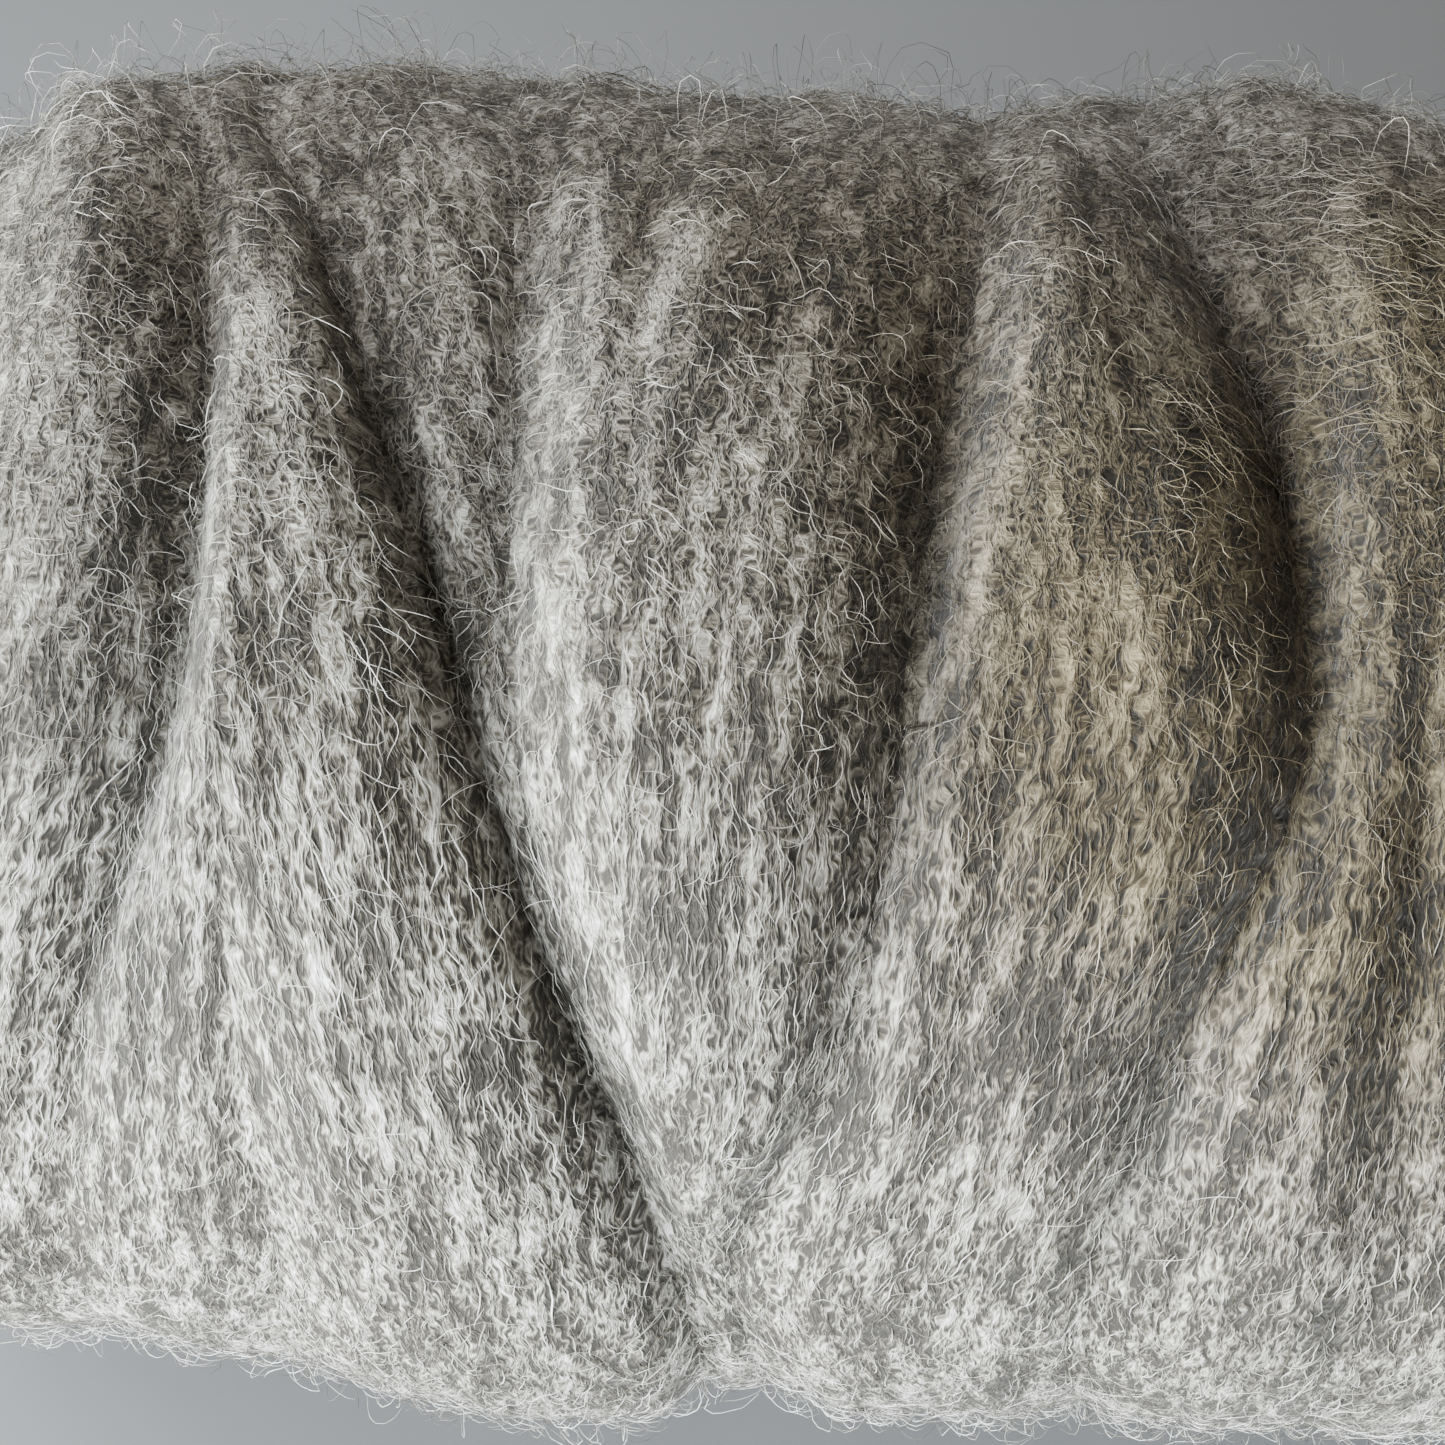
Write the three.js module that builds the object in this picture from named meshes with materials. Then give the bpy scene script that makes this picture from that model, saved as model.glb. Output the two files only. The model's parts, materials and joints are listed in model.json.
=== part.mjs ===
// A loose roll of undyed alpaca roving: one thick, soft strand laid turn beside turn round a lying
// roll, so that the turns run up the front, over the top and down the back, and cross at small angles.
// Millimetres. +X is the length of the roll, -Y its front, +Z up. It rests on a narrow flat of its own.

import * as THREE from 'three';

// Driving sizes
const rollLength = 180;
const rollDepth = 93;
const rollHeight = 88;
const settle = 2.5; // how far its weight presses the underside flat
const endSquareness = 3.5; // 2 is an egg, 4 is a drum
const endHollow = { depth: 4, radius: 8 }; // where the first turn was started
const calmEnd = 0.35; // share of the girth below which the creases fade to the end's middle
const middleOfFront = 4.5; // the creases' zero lies this far left of the roll's middle
const leastGap = 1.1; // between two creases that run together

// Mesh steps
const stepsRound = 64;
const widestStep = 4;
const fewestSteps = 2;
const mostSteps = 6;
const crowding = 0.72; // how far the steps draw in to the creases, from 0 to 1
const tapeSteps = 400;

// Angles round the roll, in degrees: 0 is straight to the front, 90 the top, 180 the back.
const rows = {
  keel: -90, foot: -22, front: 0, shin: 23, face: 46, brow: 69, crown: 92, nape: 115, back: 175, heel: 225,
};

// The creases between the turns, from left to right. At each row: how far from the creases' zero, by a
// tape laid along the roll. deep is the greatest depth, at the row named in at, and falls off within span
// degrees to the share that stays. before and after are how wide the turns on either side round into it.
const creases = [
  { name: 'outer_left',
    keel: -62, foot: -66, front: -66, shin: -65, face: -62, brow: -60, crown: -59, nape: -60, back: -68, heel: -66,
    deep: 4, at: 'face', span: 90, stays: 0.8, before: 11, after: 10 },
  { name: 'left_pleat',
    keel: -44, foot: -47, front: -46, shin: -43.5, face: -39, brow: -39, crown: -42, nape: -47, back: -52, heel: -49,
    deep: 5.4, at: 'face', span: 40, stays: 0.35, before: 5.5, after: 4 },
  { name: 'left_tuck',
    keel: -31, foot: -34.5, front: -33, shin: -34, face: -36, brow: -37, crown: -40, nape: -44.5, back: -43, heel: -36,
    deep: 2.6, at: 'front', span: 30, stays: 0.1, before: 6, after: 6 },
  { name: 'long_crease',
    keel: -14, foot: -8.5, front: -11, shin: -16.5, face: -22.8, brow: -29, crown: -36, nape: -42.5, back: -36, heel: -24,
    deep: 6, at: 'shin', span: 50, stays: 0.5, before: 2.2, after: 11 },
  { name: 'upper_crease',
    keel: -10, foot: -7.2, front: -9.5, shin: -15, face: -19.8, brow: -21, crown: -22.5, nape: -25, back: -20, heel: -12,
    deep: 4.6, at: 'brow', span: 42, stays: 0.35, before: 7, after: 4.5 },
  { name: 'crown_dent',
    keel: -5, foot: -6, front: -8.2, shin: -11.5, face: -13, brow: -14, crown: -14.5, nape: -14, back: -8, heel: -3,
    deep: 2.2, at: 'crown', span: 20, stays: 0, before: 4, after: 4 },
  { name: 'right_crease',
    keel: 3, foot: -4.8, front: -6, shin: -0.2, face: 1.8, brow: 3.4, crown: 5, nape: 5.5, back: 3, heel: 8,
    deep: 6, at: 'face', span: 56, stays: 0.5, before: 5.5, after: 4.5 },
  { name: 'inner_fold',
    keel: 10, foot: 4, front: 3.2, shin: 5.6, face: 7.4, brow: 9, crown: 9.5, nape: 10, back: 11, heel: 15,
    deep: 1.8, at: 'shin', span: 34, stays: 0, before: 5, after: 5 },
  { name: 'far_crease',
    keel: 25, foot: 15.8, front: 15, shin: 18.2, face: 24.3, brow: 22.5, crown: 17.5, nape: 16, back: 25, heel: 31,
    deep: 5.8, at: 'face', span: 50, stays: 0.42, before: 5.5, after: 5 },
  { name: 'far_fold',
    keel: 36, foot: 31, front: 31, shin: 30.4, face: 30.4, brow: 31, crown: 31, nape: 31.5, back: 37, heel: 40,
    deep: 2.4, at: 'shin', span: 40, stays: 0.3, before: 6, after: 6 },
];

// Plain turns towards the ends: how many on each side, and how far each sways to and fro.
const endTurns = {
  left: { first: -81, pitch: -15.5, count: 3 },
  right: { first: 47, pitch: 15.5, count: 5 },
  sway: 4.4, swayTurn: 140, deep: 4, reach: 9,
};

// Where a turn is fuller or slacker than the rest: how far from the creases' zero, at what angle, by how
// much it stands out, and over what width and how many degrees.
const fullPlaces = [
  { name: 'fan', place: -24, angle: 20, out: 2.6, wide: 8, high: 28 },
  { name: 'under_fan', place: -22.5, angle: 58, out: -2, wide: 4.5, high: 20 },
  { name: 'centre_right', place: -5, angle: 40, out: 0.8, wide: 5, high: 26 },
  { name: 'slack_right', place: 12.5, angle: 50, out: -0.4, wide: 7, high: 24 },
  { name: 'left_crown', place: -36, angle: 72, out: 1, wide: 5, high: 26 },
  { name: 'left_nape', place: -44, angle: 114, out: 1.6, wide: 8, high: 24 },
  { name: 'low_nape', place: -10, angle: 122, out: -3, wide: 26, high: 24 },
  { name: 'right_nape', place: 42, angle: 120, out: -3.5, wide: 12, high: 28 },
  { name: 'left_shoulder', place: -62, angle: 110, out: -3, wide: 8, high: 28 },
  { name: 'left_foot', place: -56, angle: -14, out: 4, wide: 16, high: 34 },
  { name: 'middle_foot', place: -16, angle: -32, out: 4.4, wide: 15, high: 24 },
  { name: 'centre', place: -14, angle: 50, out: 1.2, wide: 7, high: 30 },
  { name: 'crown', place: -9, angle: 84, out: 0.7, wide: 6, high: 20 },
  { name: 'low_middle', place: 1, angle: 8, out: 1.3, wide: 6, high: 22 },
  { name: 'right_crown', place: 9, angle: 84, out: 1, wide: 5, high: 20 },
  { name: 'right_foot', place: 23, angle: 12, out: 1.6, wide: 7, high: 24 },
  { name: 'right_brow', place: 31, angle: 74, out: 1.2, wide: 6, high: 22 },
  { name: 'back_left', place: -30, angle: 165, out: 1.6, wide: 14, high: 26 },
  { name: 'back_right', place: 18, angle: 190, out: 1.6, wide: 16, high: 28 },
];

// Hand winding leaves it lumpy all over: each wave's height, its length along the roll and its count round.
const lumps = [
  { high: 0.6, length: 47, round: 2, start: 20 },
  { high: 0.45, length: 29, round: 3, start: 150 },
  { high: 0.3, length: 19, round: 5, start: 280 },
];

// Where the creases close up: its weight flattens them underneath, and the turns bed together at the nape.
const calms = [
  { at: 'keel', width: 70, share: 0.9 },
  { at: 'nape', width: 28, share: 0.6 },
];

const radians = THREE.MathUtils.degToRad;
const clamp = THREE.MathUtils.clamp;
const wholeTurn = 360;

// One at nought, and falling away smoothly on both sides.
function bell(off) {
  return Math.exp(-off * off);
}

// The signed way round from one angle to another, between -180 and 180 degrees.
function apart(a, b) {
  return ((((a - b + 180) % wholeTurn) + wholeTurn) % wholeTurn) - 180;
}

// A smooth closed curve through a value at each row, read at an angle.
const rowNames = Object.keys(rows);
const rowAngles = rowNames.map((name) => rows[name]);

function roundTheRoll(values, angle) {
  const n = rowAngles.length;
  const a = (((angle - rowAngles[0]) % wholeTurn) + wholeTurn) % wholeTurn + rowAngles[0];
  let i = n - 1;
  while (rowAngles[i] > a) i -= 1;
  const angleOf = (k) => rowAngles[((k % n) + n) % n] + wholeTurn * Math.floor(k / n);
  const valueOf = (k) => values[((k % n) + n) % n];
  const slopeAt = (k) => (valueOf(k + 1) - valueOf(k - 1)) / (angleOf(k + 1) - angleOf(k - 1));
  const span = angleOf(i + 1) - angleOf(i);
  const t = (a - angleOf(i)) / span;
  const rise = t * t * (3 - 2 * t);
  return valueOf(i) * (1 - rise) + valueOf(i + 1) * rise
    + span * (slopeAt(i) * t * (1 - t) ** 2 - slopeAt(i + 1) * t * t * (1 - t));
}

// A crease from the table: its place and depth at an angle.
function tableCrease(fold) {
  const values = rowNames.map((name) => fold[name]);
  return {
    place: (angle) => roundTheRoll(values, angle) - middleOfFront,
    depth: (angle) => fold.deep * (fold.stays + (1 - fold.stays) * bell(apart(angle, rows[fold.at]) / fold.span)),
    before: fold.before,
    after: fold.after,
  };
}

// A plain turn's crease near an end.
function endCrease(side, index) {
  const middle = side.first + side.pitch * index;
  return {
    place: (angle) => middle + endTurns.sway * Math.sin(radians(angle + endTurns.swayTurn * index)),
    depth: () => endTurns.deep,
    before: endTurns.reach,
    after: endTurns.reach,
  };
}

function allCreases() {
  const left = Array.from({ length: endTurns.left.count }, (_, k) => endCrease(endTurns.left, k)).reverse();
  const right = Array.from({ length: endTurns.right.count }, (_, k) => endCrease(endTurns.right, k));
  return [...left, ...creases.map(tableCrease), ...right];
}

// The outline of the roll from end to end: a squared oval, with the place by tape along it.
function makeTape() {
  const points = [];
  for (let k = 0; k <= tapeSteps; k += 1) {
    const u = Math.PI * (1 - k / tapeSteps);
    const x = Math.sign(Math.cos(u)) * Math.abs(Math.cos(u)) ** (2 / endSquareness);
    const girth = Math.max(0, Math.sin(u)) ** (2 / endSquareness);
    points.push({ x: x * rollLength / 2, girth });
  }
  let run = 0;
  points[0].tape = 0;
  for (let k = 1; k < points.length; k += 1) {
    const rise = (points[k].girth - points[k - 1].girth) * (rollDepth + rollHeight) / 4;
    run += Math.hypot(points[k].x - points[k - 1].x, rise);
    points[k].tape = run;
  }
  points.forEach((p) => { p.tape -= run / 2; });
  return points;
}

const tape = makeTape();
const tapeEnd = tape[tape.length - 1].tape;

function outlineAt(place) {
  const at = clamp(place, -tapeEnd, tapeEnd);
  let k = 1;
  while (k < tape.length - 1 && tape[k].tape < at) k += 1;
  const a = tape[k - 1];
  const b = tape[k];
  const t = (at - a.tape) / (b.tape - a.tape);
  return {
    x: a.x + (b.x - a.x) * t,
    girth: a.girth + (b.girth - a.girth) * t,
    slope: Math.atan2((b.girth - a.girth) * (rollDepth + rollHeight) / 4, b.x - a.x),
  };
}

// The creases' places at one angle, kept in order and a little apart, with the two ends.
function guidesAt(angle, list) {
  const places = [-tapeEnd, ...list.map((c) => c.place(angle)), tapeEnd];
  for (let i = 1; i < places.length - 1; i += 1) {
    places[i] = Math.max(places[i], places[i - 1] + leastGap);
  }
  return places;
}

// How far the wool stands out of the mean roll: full places and lumps, less the creases near by.
function relief(place, angle, guides, list) {
  let out = 0;
  fullPlaces.forEach((f) => {
    out += f.out * bell((place + middleOfFront - f.place) / f.wide) * bell(apart(angle, f.angle) / f.high);
  });
  lumps.forEach((l) => {
    out += l.high * Math.sin((2 * Math.PI * place) / l.length + radians(l.round * angle + l.start));
  });
  let squares = 0;
  list.forEach((crease, i) => {
    const away = place - guides[i + 1];
    const reach = away < 0 ? crease.before : crease.after;
    const near = Math.max(0, 1 - Math.abs(away) / reach);
    squares += (crease.depth(angle) * near * near) ** 2;
  });
  const [underneath, nape] = calms.map((c) => 1 - c.share * bell(apart(angle, rows[c.at]) / c.width));
  const inward = THREE.MathUtils.smoothstep(outlineAt(place).girth, 0, calmEnd);
  return (out - Math.sqrt(squares) * nape) * underneath * inward;
}

// A point of the surface, from its place by tape and its angle.
function surfacePoint(place, angle, out) {
  const line = outlineAt(place);
  const turn = radians(angle);
  const lift = { along: -Math.sin(line.slope) * out, across: Math.cos(line.slope) * out };
  const fromEnd = line.girth * rollDepth / 2;
  const tuck = endHollow.depth * bell(fromEnd / endHollow.radius) * -Math.sign(place);
  const girthDepth = Math.max(0, line.girth * rollDepth / 2 + lift.across);
  const girthHeight = Math.max(0, line.girth * rollHeight / 2 + lift.across);
  return new THREE.Vector3(
    line.x + lift.along + tuck,
    -girthDepth * Math.cos(turn),
    Math.max(0, rollHeight / 2 - settle + girthHeight * Math.sin(turn)),
  );
}

// How many steps go across each turn, by its greatest width.
function stepsAcross(list) {
  const guides = rowAngles.map((angle) => guidesAt(angle, list));
  return guides[0].slice(1).map((_, i) => {
    const width = Math.max(...guides.map((row) => row[i + 1] - row[i]));
    return clamp(Math.round(width / widestStep), fewestSteps, mostSteps);
  });
}

function rovingRoll() {
  const list = allCreases();
  const steps = stepsAcross(list);
  const points = [];
  for (let r = 0; r < stepsRound; r += 1) {
    const angle = rows.keel + (wholeTurn * r) / stepsRound;
    const guides = guidesAt(angle, list);
    for (let turn = 0; turn < steps.length; turn += 1) {
      for (let k = turn === 0 ? 1 : 0; k < steps[turn]; k += 1) {
        const even = k / steps[turn];
        const share = even - crowding * Math.sin(2 * Math.PI * even) / (2 * Math.PI);
        const place = guides[turn] + share * (guides[turn + 1] - guides[turn]);
        points.push(surfacePoint(place, angle, relief(place, angle, guides, list)));
      }
    }
  }
  const perRow = points.length / stepsRound;
  const leftPole = points.push(surfacePoint(-tapeEnd, 0, 0)) - 1;
  const rightPole = points.push(surfacePoint(tapeEnd, 0, 0)) - 1;
  const faces = [];
  for (let r = 0; r < stepsRound; r += 1) {
    const here = r * perRow;
    const next = ((r + 1) % stepsRound) * perRow;
    faces.push(leftPole, here, next);
    for (let k = 0; k < perRow - 1; k += 1) {
      faces.push(here + k, here + k + 1, next + k + 1);
      faces.push(here + k, next + k + 1, next + k);
    }
    faces.push(rightPole, next + perRow - 1, here + perRow - 1);
  }
  const shape = new THREE.BufferGeometry().setFromPoints(points);
  shape.setIndex(faces);
  return shape;
}

// The roll stands on the origin: the middle of its footprint's bounding box, on the surface.
function centred(shape) {
  shape.computeBoundingBox();
  const middle = shape.boundingBox.getCenter(new THREE.Vector3());
  shape.translate(-middle.x, -middle.y, -shape.boundingBox.min.z);
  shape.computeVertexNormals();
  return shape;
}

const undyedGrey = new THREE.MeshStandardMaterial({ color: 0x9d978c, roughness: 0.95, metalness: 0 });

const roll = new THREE.Mesh(centred(rovingRoll()), undyedGrey);
roll.name = 'roving_roll';

const part = new THREE.Group();
part.add(roll);

export default part;
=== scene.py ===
import json
import math

import bpy
import numpy as np
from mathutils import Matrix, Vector, noise
from mathutils.bvhtree import BVHTree
from mathutils.kdtree import KDTree

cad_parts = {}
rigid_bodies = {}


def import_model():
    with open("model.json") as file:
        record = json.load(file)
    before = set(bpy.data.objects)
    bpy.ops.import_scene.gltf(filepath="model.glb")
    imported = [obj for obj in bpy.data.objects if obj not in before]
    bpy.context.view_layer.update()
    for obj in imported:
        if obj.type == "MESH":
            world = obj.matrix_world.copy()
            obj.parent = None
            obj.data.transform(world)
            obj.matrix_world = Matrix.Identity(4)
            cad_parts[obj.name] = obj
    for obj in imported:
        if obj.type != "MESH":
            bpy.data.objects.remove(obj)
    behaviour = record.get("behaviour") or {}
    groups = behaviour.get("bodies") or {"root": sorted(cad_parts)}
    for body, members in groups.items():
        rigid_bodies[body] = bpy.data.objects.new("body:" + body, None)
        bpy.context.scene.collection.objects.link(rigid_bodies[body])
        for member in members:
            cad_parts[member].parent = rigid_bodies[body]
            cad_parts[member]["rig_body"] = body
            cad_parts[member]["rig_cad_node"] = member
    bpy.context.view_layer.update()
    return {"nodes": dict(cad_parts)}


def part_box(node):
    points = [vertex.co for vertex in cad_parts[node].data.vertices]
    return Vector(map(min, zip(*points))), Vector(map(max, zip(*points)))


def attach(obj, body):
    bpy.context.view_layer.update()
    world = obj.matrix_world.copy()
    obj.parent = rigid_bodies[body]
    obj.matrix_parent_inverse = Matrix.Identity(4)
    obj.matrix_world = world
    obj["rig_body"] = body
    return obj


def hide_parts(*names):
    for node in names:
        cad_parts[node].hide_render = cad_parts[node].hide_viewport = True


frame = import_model()

MM = 0.001
TURN = 360.0

# The roll's mean form, as the turns were wound: millimetres, from the frame where it says.
NODE = "roving_roll"
ROLL_BOX = [np.array(corner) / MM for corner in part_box(NODE)]
ROLL_LENGTH = ROLL_BOX[1][0] - ROLL_BOX[0][0]
ROLL_DEPTH = 93.0
ROLL_HEIGHT = 88.0
SETTLE = 2.5
AXIS_HEIGHT = ROLL_HEIGHT / 2 - SETTLE
MEAN_GIRTH = (ROLL_DEPTH + ROLL_HEIGHT) / 4
END_SQUARENESS = 3.5
CREASE_ZERO = 4.5
LEAST_GAP = 1.1

# Angles round the roll, in degrees: 0 is straight to the front, 90 the top, 180 the back.
ROWS = {
    "keel": -90, "foot": -22, "front": 0, "shin": 23, "face": 46,
    "brow": 69, "crown": 92, "nape": 115, "back": 175, "heel": 225,
}
ROW_ANGLES = np.array(list(ROWS.values()), float)

# Where each crease between the turns lies at each row, by a tape laid along the roll.
CREASES = {
    "outer_left": dict(keel=-62, foot=-66, front=-66, shin=-65, face=-62,
                       brow=-60, crown=-59, nape=-60, back=-68, heel=-66),
    "left_pleat": dict(keel=-44, foot=-47, front=-46, shin=-43.5, face=-39,
                       brow=-39, crown=-42, nape=-47, back=-52, heel=-49),
    "left_tuck": dict(keel=-31, foot=-34.5, front=-33, shin=-34, face=-36,
                      brow=-37, crown=-40, nape=-44.5, back=-43, heel=-36),
    "long_crease": dict(keel=-14, foot=-8.5, front=-11, shin=-16.5, face=-22.8,
                        brow=-29, crown=-36, nape=-42.5, back=-36, heel=-24),
    "upper_crease": dict(keel=-10, foot=-7.2, front=-9.5, shin=-15, face=-19.8,
                         brow=-21, crown=-22.5, nape=-25, back=-20, heel=-12),
    "crown_dent": dict(keel=-5, foot=-6, front=-8.2, shin=-11.5, face=-13,
                       brow=-14, crown=-14.5, nape=-14, back=-8, heel=-3),
    "right_crease": dict(keel=3, foot=-4.8, front=-6, shin=-0.2, face=1.8,
                         brow=3.4, crown=5, nape=5.5, back=3, heel=8),
    "inner_fold": dict(keel=10, foot=4, front=3.2, shin=5.6, face=7.4,
                       brow=9, crown=9.5, nape=10, back=11, heel=15),
    "far_crease": dict(keel=25, foot=15.8, front=15, shin=18.2, face=24.3,
                       brow=22.5, crown=17.5, nape=16, back=25, heel=31),
    "far_fold": dict(keel=36, foot=31, front=31, shin=30.4, face=30.4,
                     brow=31, crown=31, nape=31.5, back=37, heel=40),
}
END_TURNS = {
    "left": dict(first=-81, pitch=-15.5, count=3),
    "right": dict(first=47, pitch=15.5, count=5),
}
END_SWAY = 4.4
END_SWAY_TURN = 140.0

# Marks along the outline, by tape, to find the one that a point of the roll is nearest.
TAPE_MARK = 0.02

# The skin that the fibres are laid on: steps by tape and by angle, and the rays that find it.
TAPE_STEPS = 480
ANGLE_STEPS = 360
SKIN_MARGIN = 0.5
SLOPE_REACH = 0.4
PROBE_START = 14.0
PROBE_LENGTH = 35.0

# Fibres: how near the roll's end poles one may start and come, how it tapers, its section's sides.
START_MARGIN = 1.5
END_MARGIN = 1.0
LEAST_GIRTH = 0.12
FLOOR_GAP = 0.3
TAPER = 0.6
SIDES = 3


# The winding: outline, creases and the way the turns run

def outline_table():
    """The roll's mean outline from end to end: place by tape, distance along the roll, share of girth."""
    turn = np.pi * (1 - np.linspace(0, 1, 801))
    along = np.sign(np.cos(turn)) * np.abs(np.cos(turn)) ** (2 / END_SQUARENESS) * ROLL_LENGTH / 2
    girth = np.maximum(0, np.sin(turn)) ** (2 / END_SQUARENESS)
    steps = np.hypot(np.diff(along), np.diff(girth) * MEAN_GIRTH)
    tape = np.concatenate([[0], np.cumsum(steps)])
    return tape - tape[-1] / 2, along, girth


TAPE, ALONG, GIRTH = outline_table()
TAPE_END = TAPE[-1]
ROLL_MIDDLE = (ROLL_BOX[0][0] + ROLL_BOX[1][0]) / 2


def round_the_roll(values, angle):
    """A smooth closed curve through a value at each row, read at an angle."""
    angles = np.concatenate([[ROW_ANGLES[-1] - TURN], ROW_ANGLES, ROW_ANGLES[:2] + TURN])
    heights = np.concatenate([[values[-1]], values, values[:2]])
    slopes = (heights[2:] - heights[:-2]) / (angles[2:] - angles[:-2])
    turned = (angle - ROW_ANGLES[0]) % TURN + ROW_ANGLES[0]
    i = np.clip(np.searchsorted(ROW_ANGLES, turned, side="right") - 1, 0, len(ROW_ANGLES) - 1)
    span = angles[i + 2] - angles[i + 1]
    t = (turned - angles[i + 1]) / span
    rise = t * t * (3 - 2 * t)
    bend = slopes[i] * t * (1 - t) ** 2 - slopes[i + 1] * t * t * (1 - t)
    return heights[i + 1] * (1 - rise) + heights[i + 2] * rise + span * bend


def crease_places(angle):
    """Every crease's place by tape at some angles, in order, with the two ends of the roll."""
    angle = np.asarray(angle, float)
    left = END_TURNS["left"]
    right = END_TURNS["right"]
    places = [np.full(angle.shape, -TAPE_END)]
    for k in reversed(range(left["count"])):
        places.append(left["first"] + left["pitch"] * k + end_sway(angle, k))
    for crease in CREASES.values():
        values = np.array([crease[row] for row in ROWS], float)
        places.append(round_the_roll(values, angle) - CREASE_ZERO)
    for k in range(right["count"]):
        places.append(right["first"] + right["pitch"] * k + end_sway(angle, k))
    places.append(np.full(angle.shape, TAPE_END))
    for k in range(1, len(places) - 1):
        places[k] = np.maximum(places[k], places[k - 1] + LEAST_GAP)
    return np.stack(places, axis=-1)


def end_sway(angle, index):
    """How far an end turn's crease swings to and fro as it goes round."""
    return END_SWAY * np.sin(np.radians(angle + END_SWAY_TURN * index))


CREASE_TABLE = crease_places(np.arange(TURN + 1))
LAST_TURN = CREASE_TABLE.shape[-1] - 2


def creases_near(angle):
    """The crease places at any angles, read off the table made at every degree."""
    turned = np.asarray(angle, float) % TURN
    below = np.floor(turned).astype(int)
    share = (turned - below)[..., None]
    return CREASE_TABLE[below] * (1 - share) + CREASE_TABLE[below + 1] * share


def turn_at(place, angle):
    """Which turn a place lies in, counted from the left end."""
    return np.clip((creases_near(angle) <= place[..., None]).sum(-1) - 1, 0, LAST_TURN)


def turn_edges(turn, angle):
    """The creases on either side of a turn, by tape, at an angle."""
    guides = creases_near(angle)
    left = np.take_along_axis(guides, turn[..., None], -1)[..., 0]
    right = np.take_along_axis(guides, turn[..., None] + 1, -1)[..., 0]
    return left, right


def strand_of(place, angle):
    """The turn that a place lies in, with its share of that turn's width."""
    turn = turn_at(place, angle)
    left, right = turn_edges(turn, angle)
    return turn + (place - left) / (right - left)


def place_of(strand, angle):
    """The place by tape of a turn and share of it at an angle: this is how the wool runs round."""
    turn = whole_turn(strand)
    left, right = turn_edges(turn, angle)
    return left + (strand - turn) * (right - left)


def whole_turn(strand):
    """The turn alone, without the share of it."""
    return np.clip(np.floor(strand).astype(int), 0, LAST_TURN)


# Mesh helpers

def only(piece):
    """Selects one piece and nothing else."""
    bpy.ops.object.select_all(action="DESELECT")
    piece.hide_viewport = False
    piece.select_set(True)
    bpy.context.view_layer.objects.active = piece


def points_of(piece):
    """A piece's points, one to a row."""
    flat = np.empty(len(piece.data.vertices) * 3)
    piece.data.vertices.foreach_get("co", flat)
    return flat.reshape(-1, 3)


def store(piece, name, values):
    """Keeps a value for every point of a piece under a name that its material reads."""
    layer = piece.data.attributes.new(name, "FLOAT", "POINT")
    layer.data.foreach_set("value", np.ravel(values))


def belongs(piece, material):
    """Gives a piece its material, and says that it is part of the roll."""
    piece.data.materials.clear()
    piece.data.materials.append(material)
    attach(piece, "root")


# The mass of wool

def angle_and_place(points):
    """The angle round the roll and the place by tape of points near its surface, in millimetres."""
    rise = (points[:, 2] - AXIS_HEIGHT) / ROLL_HEIGHT
    front = -points[:, 1] / ROLL_DEPTH
    along = points[:, 0] - ROLL_MIDDLE
    girth = 2 * MEAN_GIRTH * np.hypot(rise, front)
    marks = np.arange(-TAPE_END, TAPE_END, TAPE_MARK)
    outline = KDTree(len(marks))
    drawn = np.column_stack([np.interp(marks, TAPE, ALONG), np.interp(marks, TAPE, GIRTH) * MEAN_GIRTH])
    for k, spot in enumerate(drawn):
        outline.insert((*spot, 0), k)
    outline.balance()
    nearest = [outline.find((*spot, 0))[1] for spot in zip(along, girth)]
    return np.degrees(np.arctan2(rise, front)), marks[nearest]


# How near two points are one, in metres, and across how sharp a fold two triangles still join.
SAME_POINT = 1e-6
QUAD_FOLD = math.radians(70)


def wool_mass():
    """The wound mass: a finer, softer copy of the solid, with small locks combed along its turns."""
    only(frame["nodes"][NODE])
    bpy.ops.object.duplicate()
    mass = bpy.context.object
    mass.name = mass.data.name = "wool_mass"
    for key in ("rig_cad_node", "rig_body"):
        if key in mass:
            del mass[key]
    mass.parent = None
    bpy.ops.object.mode_set(mode="EDIT")
    bpy.ops.mesh.select_all(action="SELECT")
    bpy.ops.mesh.remove_doubles(threshold=SAME_POINT)
    bpy.ops.mesh.tris_convert_to_quads(face_threshold=QUAD_FOLD, shape_threshold=QUAD_FOLD)
    bpy.ops.object.mode_set(mode="OBJECT")
    finer = mass.modifiers.new("finer", "SUBSURF")
    finer.levels = finer.render_levels = 2
    bpy.ops.object.modifier_apply(modifier=finer.name)
    comb_locks(mass)
    bpy.ops.object.shade_smooth()
    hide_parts(NODE)
    return mass


# Small locks: how wide, long and high they are, and where in the random field they start.
LOCKS = [
    dict(across=3.4, along=26.0, high=0.32, start=3.0),
    dict(across=1.5, along=13.0, high=0.22, start=41.0),
]

# No lock up to this height over the floor, whole ones from UNDER_CALM further up, and lower ones on
# narrow turns. The wool's pattern starts afresh, TURN_STEP on, at each turn.
UNDER_FLAT = 0.15
UNDER_CALM = 1.2
WIDE_TURN = 8.0
TURN_STEP = 61.3


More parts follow.
